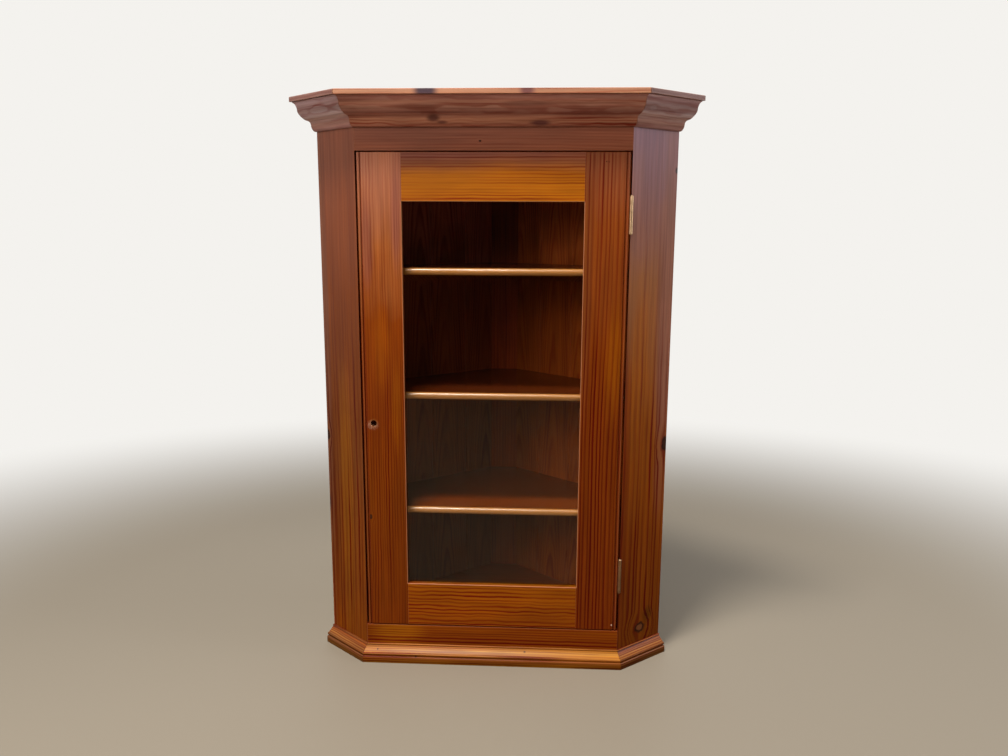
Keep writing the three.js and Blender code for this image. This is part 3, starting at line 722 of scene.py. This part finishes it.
# %% [markdown]
# ## The rails of the door
# The top rail of the door is the palest board of the front, golden with fine lines. Along its
# upper edge it turns darker and greyer: a painted shadow of the cornice with a little painted
# sheen. The lines of the bottom rail ripple, so it gets a stronger short bend.

# %% The rails of the door
# Golden below. The darker, greyer top is a painted shadow of the cornice and a painted sheen.
TOP_RAIL_TONES_AND_SHADOW = [
    (0.888, (167, 95, 7)), (0.935, (161, 91, 11)), (0.955, (135, 77, 43)), (0.97, (126, 71, 53)),
]
woods["rail_top"] = pine(
    "door_rail_top_pine", FRONT_LEVEL, TOP_RAIL_TONES_AND_SHADOW, contrast=0.9, ring=0.0055, pith=(1.3, 0.1),
    sway=0.006, seed=7.9)
woods["rail_bottom"] = pine(
    "door_rail_bottom_pine", FRONT_LEVEL, [(0.07, (133, 63, 2)), (0.161, (142, 74, 2))],
    contrast=1.5, ring=0.0068, pith=(0.5, 0.1), sway=0.01, ripple=0.0035, seed=8.3, fade=0.5)
print(len(woods), "woods so far")

# %% [markdown]
# ## The cornice and its cap
# On a moulding the tones follow the shape: darker in the hollows and paler on the rounds, which is
# painted shade and painted highlight along the profile. So the tones follow the height closely and
# hardly drift. The side runs are paler and greyer than the front, partly a painted sheen. Knots
# darken the front run and the cap strip above it.

# %% The cornice and its cap
# By height along the profile: dark bands are painted shade, pale ones painted highlight.
FRONT_CORNICE_TONES_AND_SHADE = [
    (1.0165, (159, 99, 79)), (1.022, (142, 89, 66)), (1.028, (166, 109, 81)),
    (1.0335, (169, 114, 97)), (1.037, (143, 93, 80)), (1.046, (154, 105, 86)),
    (1.0535, (155, 101, 79)), (1.06, (169, 117, 103)), (1.064, (175, 121, 112)),
]
# Paler and greyer: painted sheen on the rounds and painted shade in the hollows.
SIDE_CORNICE_TONES_AND_SHEEN = [
    (1.0165, (172, 127, 121)), (1.022, (153, 110, 98)), (1.027, (157, 115, 100)),
    (1.0335, (200, 167, 162)), (1.041, (178, 153, 154)), (1.046, (146, 115, 110)),
    (1.0505, (144, 113, 107)), (1.0565, (170, 134, 130)), (1.064, (206, 174, 182)),
]
FRONT_CAP = [(1.064, (170, 119, 90)), (1.073, (176, 125, 97))]
SIDE_CAP = [(1.064, (130, 92, 82)), (1.073, (134, 98, 88))]
CORNICE_KNOTS = [
    Patch((1.0292, -0.103), (0.008, 0.015), (66, 32, 30), 0.8),
    Patch((1.0225, -0.088), (0.0035, 0.012), (70, 34, 30), 0.7),
    Patch((1.021, 0.084), (0.006, 0.022), (72, 36, 36), 0.8),
    Patch((1.050, 0.06), (0.006, 0.05), (96, 52, 42), 0.5),
    Patch((1.046, -0.13), (0.006, 0.05), (100, 54, 40), 0.5),
]
CAP_FRONT = -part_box("cornice_cap_front")[0].y  # the cap's knots run in from its front edge
CAP_KNOTS = [
    Patch((1.069, 0.0625, CAP_FRONT), (0.012, 0.016, 0.03), (104, 62, 66), 0.85),
    Patch((1.069, -0.111, CAP_FRONT), (0.02, 0.022, 0.035), (58, 46, 58), 0.95),
]
level_runs = {"left": LEFT_LEVEL, "front": FRONT_LEVEL, "right": RIGHT_LEVEL}
for side, run in level_runs.items():
    front = side == "front"
    woods[f"cornice_{side}"] = pine(
        f"cornice_{side}_pine", run, FRONT_CORNICE_TONES_AND_SHADE if front else SIDE_CORNICE_TONES_AND_SHEEN,
        contrast=0.9 if front else 0.6, ring=0.0045, pith=(1.2, 0.1), ripple=0.003, sway=0.008,
        seed=12.0 + len(side), streaks=2.4, drift=0.06, gloss=0.42, shine=0.07,
        patches=CORNICE_KNOTS if front else ())
    woods[f"cap_{side}"] = pine(
        f"cap_{side}_pine", run, FRONT_CAP if front else SIDE_CAP, pith=(1.2, 0.1), seed=13.0,
        patches=CAP_KNOTS if front else ())
print(len(level_runs), "runs of cornice and cap")

# %% [markdown]
# ## The base moulding
# The base moulding is coarse pine with strong streaks. Its tones follow the profile: darkest in
# the groove over its flat band, a painted shade, and golden above it on the hollow that faces up,
# partly painted light. Three small dark dots are the nails that hold the front run.

# %% The base moulding
# By height along the profile: the dark groove is painted shade, the golden hollow partly painted light.
FRONT_BASE_TONES_AND_SHADE = [
    (0, (109, 67, 0)), (0.009, (121, 66, 14)), (0.0125, (140, 80, 30)),
    (0.016, (132, 63, 2)), (0.019, (162, 104, 40)), (0.023, (168, 101, 11)),
    (0.026, (188, 128, 42)), (0.0305, (159, 95, 14)), (0.035, (155, 94, 33)),
]
SIDE_BASE_TONES_AND_SHADE = [
    (0, (94, 61, 21)), (0.009, (108, 63, 23)), (0.012, (123, 79, 46)), (0.016, (121, 61, 6)),
    (0.0205, (127, 80, 32)), (0.025, (154, 100, 41)), (0.0305, (129, 60, 10)), (0.035, (142, 86, 38)),
]
BASE_NAILS = [
    Patch((0.025, -0.226), (0.0016, 0.002), (50, 24, 14), 0.9),
    Patch((0.014, -0.149), (0.0016, 0.003), (60, 28, 14), 0.9),
    Patch((0.027, 0.066), (0.0016, 0.003), (60, 28, 14), 0.9),
]
for side, run in level_runs.items():
    front = side == "front"
    woods[f"base_{side}"] = pine(
        f"base_{side}_pine", run, FRONT_BASE_TONES_AND_SHADE if front else SIDE_BASE_TONES_AND_SHADE, contrast=1.4, ring=0.0042,
        pith=(0.3, 0.1), sway=0.008, seed=14.0, streaks=3.2, drift=0.04,
        patches=BASE_NAILS if front else ())
print(len(FRONT_BASE_TONES_AND_SHADE), "tones on the front of the base moulding")

# %% [markdown]
# ## Shelves and the inside
# The shelves are stained on top, but the round nose of each was left bare. The backs are stained
# inside and raw outside, and so is the corner board between them. Rather than give the two faces of
# a board two materials, the finish changes at a plane that runs through the wood. Each back is
# parallel to the canted side across from it, so the two share one turn of the grain. In the top
# compartment the backs turn paler, a painted light, and the left back is a little darker than the
# right, partly a painted shade.

# %% Shelves and the inside
NOSE_START = 0.1345              # the bare nose begins this far in front of the origin
NOSE_PINE, RAW_PINE = (172, 108, 47), (205, 170, 120)
WALL_MIDDLE = 0.174              # the backs are stained on the near side of this plane
FIRST_JOINT, BACK_BOARD = -0.0616, 0.0933  # a joint of the right back, and the width of a board
NUMBERS_AHEAD = 5                # the left back mirrors the joint, and counts its boards from here
UNDER_SHELF, OVER_SHELF = 0.74, 0.84  # heights between which the backs turn paler: painted light in the top compartment
FOOT, HEAD, TOP = 0.0, 1.06, 1.08
INSIDE_RED, CORNER_RED, RAW_BOARD = (126, 56, 12), (130, 50, 10), (196, 158, 108)

woods["shelf"] = pine(
    "shelf_pine", FRONT_LEVEL, [(0.3, (112, 48, 6)), (0.53, (82, 32, 6)), (0.78, (88, 35, 7))],
    pith=(0.9, 0.4), seed=9.1, raw=(NOSE_START, NOSE_PINE), gloss=0.24, shine=0.5)
# Each back's lower and upper tone. The upper one holds painted light, and the left back's darker tones
# are partly painted shade.
for side, run, first_joint, low_tone, high_tone in (
    ("right", LEFT_UP, FIRST_JOINT, (134, 59, 13), (198, 94, 38)),
    ("left", RIGHT_UP, -FIRST_JOINT - BACK_BOARD * NUMBERS_AHEAD, (122, 54, 20), (174, 84, 56)),
):
    tones = [(FOOT, low_tone), (UNDER_SHELF, low_tone), (OVER_SHELF, high_tone), (HEAD, high_tone)]
    woods[f"inside_{side}"] = pine(
        f"inside_{side}_pine", run, tones, contrast=0.8, ring=0.0055, pith=(0.0, 0.145), lean=0.06,
        gloss=0.5, shine=0.08, seed=10.4, raw=(WALL_MIDDLE, RAW_PINE), matched=(first_joint, BACK_BOARD))
woods["inside_plain"] = pine(
    "inside_pine", FRONT_LEVEL, [(FOOT, INSIDE_RED), (HEAD, INSIDE_RED)], contrast=0.8,
    pith=(0.3, 0.4), gloss=0.5, seed=15.4)
woods["corner"] = pine(
    "corner_pine", FRONT_UP, [(FOOT, CORNER_RED), (HEAD, CORNER_RED)], contrast=0.6,
    pith=(0.3, 0.4), gloss=0.5, shine=0.05, seed=17.3, raw=(BACK_FLAT, RAW_PINE))
woods["raw"] = pine(
    "raw_pine", FRONT_LEVEL, [(FOOT, RAW_BOARD), (TOP, RAW_BOARD)], pith=(0.3, 0.4), gloss=0.6, seed=16.2)
print(len(woods), "kinds of pine")

# %% [markdown]
# ## Brass
# The hinges are plain brass under old lacquer: warm, a little cloudy and not very bright. A metal
# has no colour but that of its reflections, so two close tones and an uneven gloss are enough.

# %% Brass
BRASS_DULL, BRASS_BRIGHT = paint(176, 140, 104), paint(200, 164, 126)
LACQUER_SCALE, LACQUER_DETAIL, LACQUER_ENDS = 90.0, 3.0, (0.3, 0.7)
BRASS_METALLIC, BRASS_ROUGHNESS, BRASS_CLOUDED = 0.9, 0.26, 0.08

brass_finish = new_finish("hinge_brass")
brass_place = brass_finish.node("TexCoord").outputs["Object"]
lacquer = brass_finish.noise(brass_place, LACQUER_SCALE, LACQUER_DETAIL)
brass_colour = brass_finish.blend(brass_finish.span(lacquer, *LACQUER_ENDS), BRASS_DULL, BRASS_BRIGHT)
brass_roughness = brass_finish.math(
    "ADD", brass_finish.math("MULTIPLY", lacquer, BRASS_CLOUDED), BRASS_ROUGHNESS
)
brass = brass_finish.surface(brass_finish.node(
    "BsdfPrincipled", Base_Color=brass_colour, Metallic=BRASS_METALLIC, Roughness=brass_roughness))
print(brass.name, len(brass.node_tree.nodes), "nodes")

# %% [markdown]
# ## Glass
# The pane is thin clear glass. Real glass bends light, and a renderer would need very many rays to
# find the lamps through it. So the rays that carry the lamps' light go straight through, a little
# dimmed, and only what is seen passes real glass.

# %% Glass
GLASS_COLOUR, GLASS_IOR = (0.96, 0.98, 0.97, 1.0), 1.32
DIMMED = (0.94, 0.96, 0.95, 1.0)

glass_finish = new_finish("window_glass")
pane = glass_finish.node(
    "BsdfPrincipled", Base_Color=GLASS_COLOUR, Roughness=0.0, IOR=GLASS_IOR, Transmission_Weight=1.0)
open_air = glass_finish.node("BsdfTransparent", Color=DIMMED)
glass = glass_finish.surface(glass_finish.mix(glass_finish.ray_is("Shadow", "Diffuse"), pane, open_air))
print(glass.name, len(glass.node_tree.nodes), "nodes")

# %% [markdown]
# ## Where the boards wear and take painted light
# A cupboard wears at its corners, and most at the edge of the glass opening, where the paler edge is
# also a painted highlight. The faces in the gap round the door take a red that is partly stain and
# partly painted light. These helpers find such places from the boxes of the solids, so they follow
# if a size of the cupboard changes.

# %% Where the boards wear and take painted light
DOOR_FRAME = ("door_stile_left", "door_stile_right", "door_rail_top", "door_rail_bottom")
left_stile, right_stile, top_rail, bottom_rail = (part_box(node) for node in DOOR_FRAME)
SIGHT_X, DOOR_X = right_stile[0].x, right_stile[1].x  # the glass opening, and the door's edge
SIGHT_LOW, SIGHT_HIGH = bottom_rail[1].z, top_rail[0].z
DOOR_LOW, DOOR_HIGH = left_stile[0].z, left_stile[1].z
GAP, GAP_DEPTH = 0.0036, 0.021  # room for the gap round the door, and how far in it is seen
CLOSE, SLACK = 0.0002, 0.0005
SQUARE_ON = 0.8                 # least part of a face's normal along X or Z for it to look that way


def near(value, target):
    return abs(value - target) < CLOSE


def on_sight_edge(point):
    """Is this corner on the front edge of the glass opening?"""
    at_face = near(point.y, FACE)
    upright = near(abs(point.x), SIGHT_X) and SIGHT_LOW - 2 * SLACK < point.z < SIGHT_HIGH + 2 * SLACK
    level = near(point.z, SIGHT_LOW) or near(point.z, SIGHT_HIGH)
    return at_face and (upright or (level and abs(point.x) < SIGHT_X + 2 * SLACK))


def in_gap(face):
    """Does this face look into the gap round the door?"""
    x, z = abs(face.center.x), face.center.z
    beside = DOOR_X - SLACK < x < DOOR_X + GAP and abs(face.normal.x) > SQUARE_ON
    over = DOOR_HIGH - SLACK < z < DOOR_HIGH + GAP and abs(face.normal.z) > SQUARE_ON
    under = DOOR_LOW - GAP < z < DOOR_LOW + SLACK and abs(face.normal.z) > SQUARE_ON
    return face.center.y < FACE + GAP_DEPTH and x < DOOR_X + GAP and (beside or over or under)


print("glass opening", round(2 * SIGHT_X, 4), "x", round(SIGHT_HIGH - SIGHT_LOW, 4), "m")

# %% [markdown]
# ## Easing the edges
# Sawn boards have their corners eased with sandpaper, and it is those narrow faces that catch the
# light. A Bevel modifier would ease them all alike, but the edge of the glass opening is rounder
# than the rest. So a copy of each solid is cleaned into whole faces and bevelled in edit mode,
# first there and then at every sharp edge. Each bevel gives its new faces a material slot of their
# own, which tells them apart. The solid itself is never changed.

# %% Easing the edges
FACE_SLOT, EASED_SLOT, SIGHT_SLOT = 0, 1, 2
MERGE, FLAT_ANGLE, SHARP_ANGLE = 1e-5, math.radians(0.6), math.radians(32)
EASING, DOOR_EASING, SIGHT_EASING = 0.0006, 0.0004, 0.0013


def copy_solid(node, material):
    """A copy of a solid with its triangles merged into whole faces. It is left in edit mode."""
    mesh = nodes[node].data.copy()
    mesh.materials.clear()
    for _ in (FACE_SLOT, EASED_SLOT, SIGHT_SLOT):
        mesh.materials.append(material)
    piece = bpy.data.objects.new(f"{node}_dressed", mesh)
    bpy.context.collection.objects.link(piece)
    bpy.ops.object.select_all(action="DESELECT")
    piece.select_set(True)
    bpy.context.view_layer.objects.active = piece
    bpy.ops.object.mode_set(mode="EDIT")
    bpy.ops.mesh.select_mode(type="EDGE")
    bpy.ops.mesh.select_all(action="SELECT")
    bpy.ops.mesh.customdata_custom_splitnormals_clear()
    bpy.ops.mesh.remove_doubles(threshold=MERGE)
    bpy.ops.mesh.dissolve_limited(angle_limit=FLAT_ANGLE)
    return piece


def ease_edges(mesh, of_door):
    """Bevels the edge of the glass opening and then every sharp edge. It ends in object mode."""
    if of_door:
        for level in (SIGHT_LOW, SIGHT_HIGH):
            bpy.ops.mesh.select_all(action="SELECT")
            bpy.ops.mesh.bisect(plane_co=(0, 0, level), plane_no=(0, 0, 1))
    bpy.ops.mesh.select_all(action="SELECT")
    bpy.ops.mesh.normals_make_consistent(inside=False)
    bpy.ops.mesh.select_all(action="DESELECT")
    if of_door:
        bpy.ops.object.mode_set(mode="OBJECT")
        for edge in mesh.edges:
            edge.select = all(on_sight_edge(mesh.vertices[i].co) for i in edge.vertices)
        bpy.ops.object.mode_set(mode="EDIT")
        bpy.ops.mesh.bevel(offset=SIGHT_EASING, offset_type="OFFSET", segments=3, affect="EDGES",
                           material=SIGHT_SLOT)
        bpy.ops.mesh.select_all(action="DESELECT")
    bpy.ops.mesh.edges_select_sharp(sharpness=SHARP_ANGLE)
    bpy.ops.mesh.bevel(offset=DOOR_EASING if of_door else EASING, offset_type="OFFSET", segments=2,
                       affect="EDGES", clamp_overlap=True, material=EASED_SLOT)
    bpy.ops.object.mode_set(mode="OBJECT")


# %% [markdown]
# ## Marking the pale edges, the gaps and the grooves
# The pine reads two numbers of each face: how much paler it is, from wear and a painted highlight,
# and how much of the gap's red it takes, which is partly stain and partly painted light, or in the
# bead's groove a painted shade. A second and third material would treble the work, and a mask would
# need an image. A number per face is simple and travels with the mesh. After that the spare slots
# can go.
# A number per face is simple and travels with the mesh. After that the spare slots can go.

# %% Marking the faces
# How much paler each kind of face is, from wear and a painted highlight.
WEAR_AND_HIGHLIGHT_LEVEL = {FACE_SLOT: 0.0, EASED_SLOT: 0.35, SIGHT_SLOT: 1.0}
# The bead's crest is paler, partly worn and partly a painted highlight. The groove beside it takes a
# painted shade.
BEAD_CREST, CREST_WEAR_AND_HIGHLIGHT = (0.0018, 0.0034), 0.25  # the top of the stile's bead, from the door's edge in
QUIRK, QUIRK_DEPTH, QUIRK_SHADE = (0.0050, 0.0080), (0.0005, 0.0040), 0.7  # the groove beside the bead
FACES_FRONT = -0.5  # a normal whose y is less than this faces the front
LEAST_AREA = 1e-5
BY_THE_GAP = ("return", "frieze", "bottom_rail", "door_")


def mark_bead(mesh, wear_and_highlight, gaps):
    """The bead along a stile is paler on top, from wear and a painted highlight, and the groove beside it
    takes a painted shade.
    """
    for face in mesh.polygons:
        inward = DOOR_X - abs(face.center.x)
        sunk = face.center.y - FACE
        on_crest = BEAD_CREST[0] < inward < BEAD_CREST[1] and face.normal.y < FACES_FRONT
        if on_crest and face.area > LEAST_AREA:
            wear_and_highlight[face.index] = CREST_WEAR_AND_HIGHLIGHT
        if QUIRK[0] < inward < QUIRK[1] and QUIRK_DEPTH[0] < sunk < QUIRK_DEPTH[1]:
            gaps[face.index] = QUIRK_SHADE


def mark_faces(node, mesh):
    """Writes two numbers on the faces of a board: how much paler they are, from wear and a painted
    highlight, and how much of the gap's red or the groove's painted shade they take.
    """
    wear_and_highlight = [WEAR_AND_HIGHLIGHT_LEVEL[face.material_index] for face in mesh.polygons]
    gaps = [float(node.startswith(BY_THE_GAP) and in_gap(face)) for face in mesh.polygons]
    if node.startswith("door_stile"):
        mark_bead(mesh, wear_and_highlight, gaps)
    for name, values in (("wear_and_highlight", wear_and_highlight), ("gap", gaps)):
        mesh.attributes.new(name, "FLOAT", "FACE").data.foreach_set("value", values)
        if any(values):
            print("  ", name, sum(value > 0 for value in values), "faces")
    for face in mesh.polygons:
        face.material_index = FACE_SLOT
    while len(mesh.materials) > 1:
        mesh.materials.pop(index=len(mesh.materials) - 1)


# %% [markdown]
# ## Dressing the boards that are seen
# Each dressed board rides on the body of its solid and stands for it. The narrow
# bevels are shaded smooth, and weighted normals keep the wide faces flat beside them.

# %% Dressing the boards
SMOOTH_ANGLE = math.radians(50)


def dress(node, material):
    """A copy of a solid with eased edges, which stands for it."""
    piece = copy_solid(node, material)
    ease_edges(piece.data, node.startswith("door_"))
    mark_faces(node, piece.data)
    bpy.ops.object.shade_smooth_by_angle(angle=SMOOTH_ANGLE)
    piece.modifiers.new("even_shading", "WEIGHTED_NORMAL").keep_sharp = True
    bpy.ops.object.modifier_apply(modifier="even_shading")
    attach(piece, body_of[node])
    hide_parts(node)
    return piece


dressed = {
    "return_left": woods["side_left"],
    "return_right": woods["side_right"],
    "frieze_rail": woods["frieze"],
    "bottom_rail": woods["bottom_rail"],
    "door_stile_left": woods["stile_left"],
    "door_stile_right": woods["stile_right"],
    "door_rail_top": woods["rail_top"],
    "door_rail_bottom": woods["rail_bottom"],
    "shelf_lower": woods["shelf"],
    "shelf_middle": woods["shelf"],
    "shelf_upper": woods["shelf"],
}
for side in level_runs:
    dressed[f"cornice_{side}"] = woods[f"cornice_{side}"]
    dressed[f"cornice_cap_{side}"] = woods[f"cap_{side}"]
    dressed[f"base_moulding_{side}"] = woods[f"base_{side}"]
for node, material in dressed.items():
    piece = dress(node, material)
    print(piece.name, len(piece.data.polygons), "faces")

# %% [markdown]
# ## The rest
# Boards that are mostly hidden, the hinges and the pane keep their solids. A board takes the first
# finish in this list whose key its name starts with, so the plain stain of the inside comes last.

# %% The rest
by_slot = {"brass": brass, "clear_glass": glass}
by_name = {
    "top_board": woods["raw"],
    "corner_board": woods["corner"],
    "door_stop": woods["stile_left"],
    "glazing_bead_left": woods["stile_left"],
    "glazing_bead_right": woods["stile_left"],
    "glazing": woods["rail_bottom"],
    "back_board_left": woods["inside_left"],
    "back_board_right": woods["inside_right"],
    "": woods["inside_plain"],
}
kept_solids = [node for node, piece in nodes.items() if not piece.hide_render]
for node in kept_solids:
    found = next(material for start, material in by_name.items() if node.startswith(start))
    nodes[node].data.materials.clear()
    nodes[node].data.materials.append(by_slot.get(slot_of[node], found))
print(len(kept_solids), "pieces keep their solids")

# %% [markdown]
# Easing only takes a little wood off, so nothing should stand out beyond the solids.

print("all seen boards dressed")
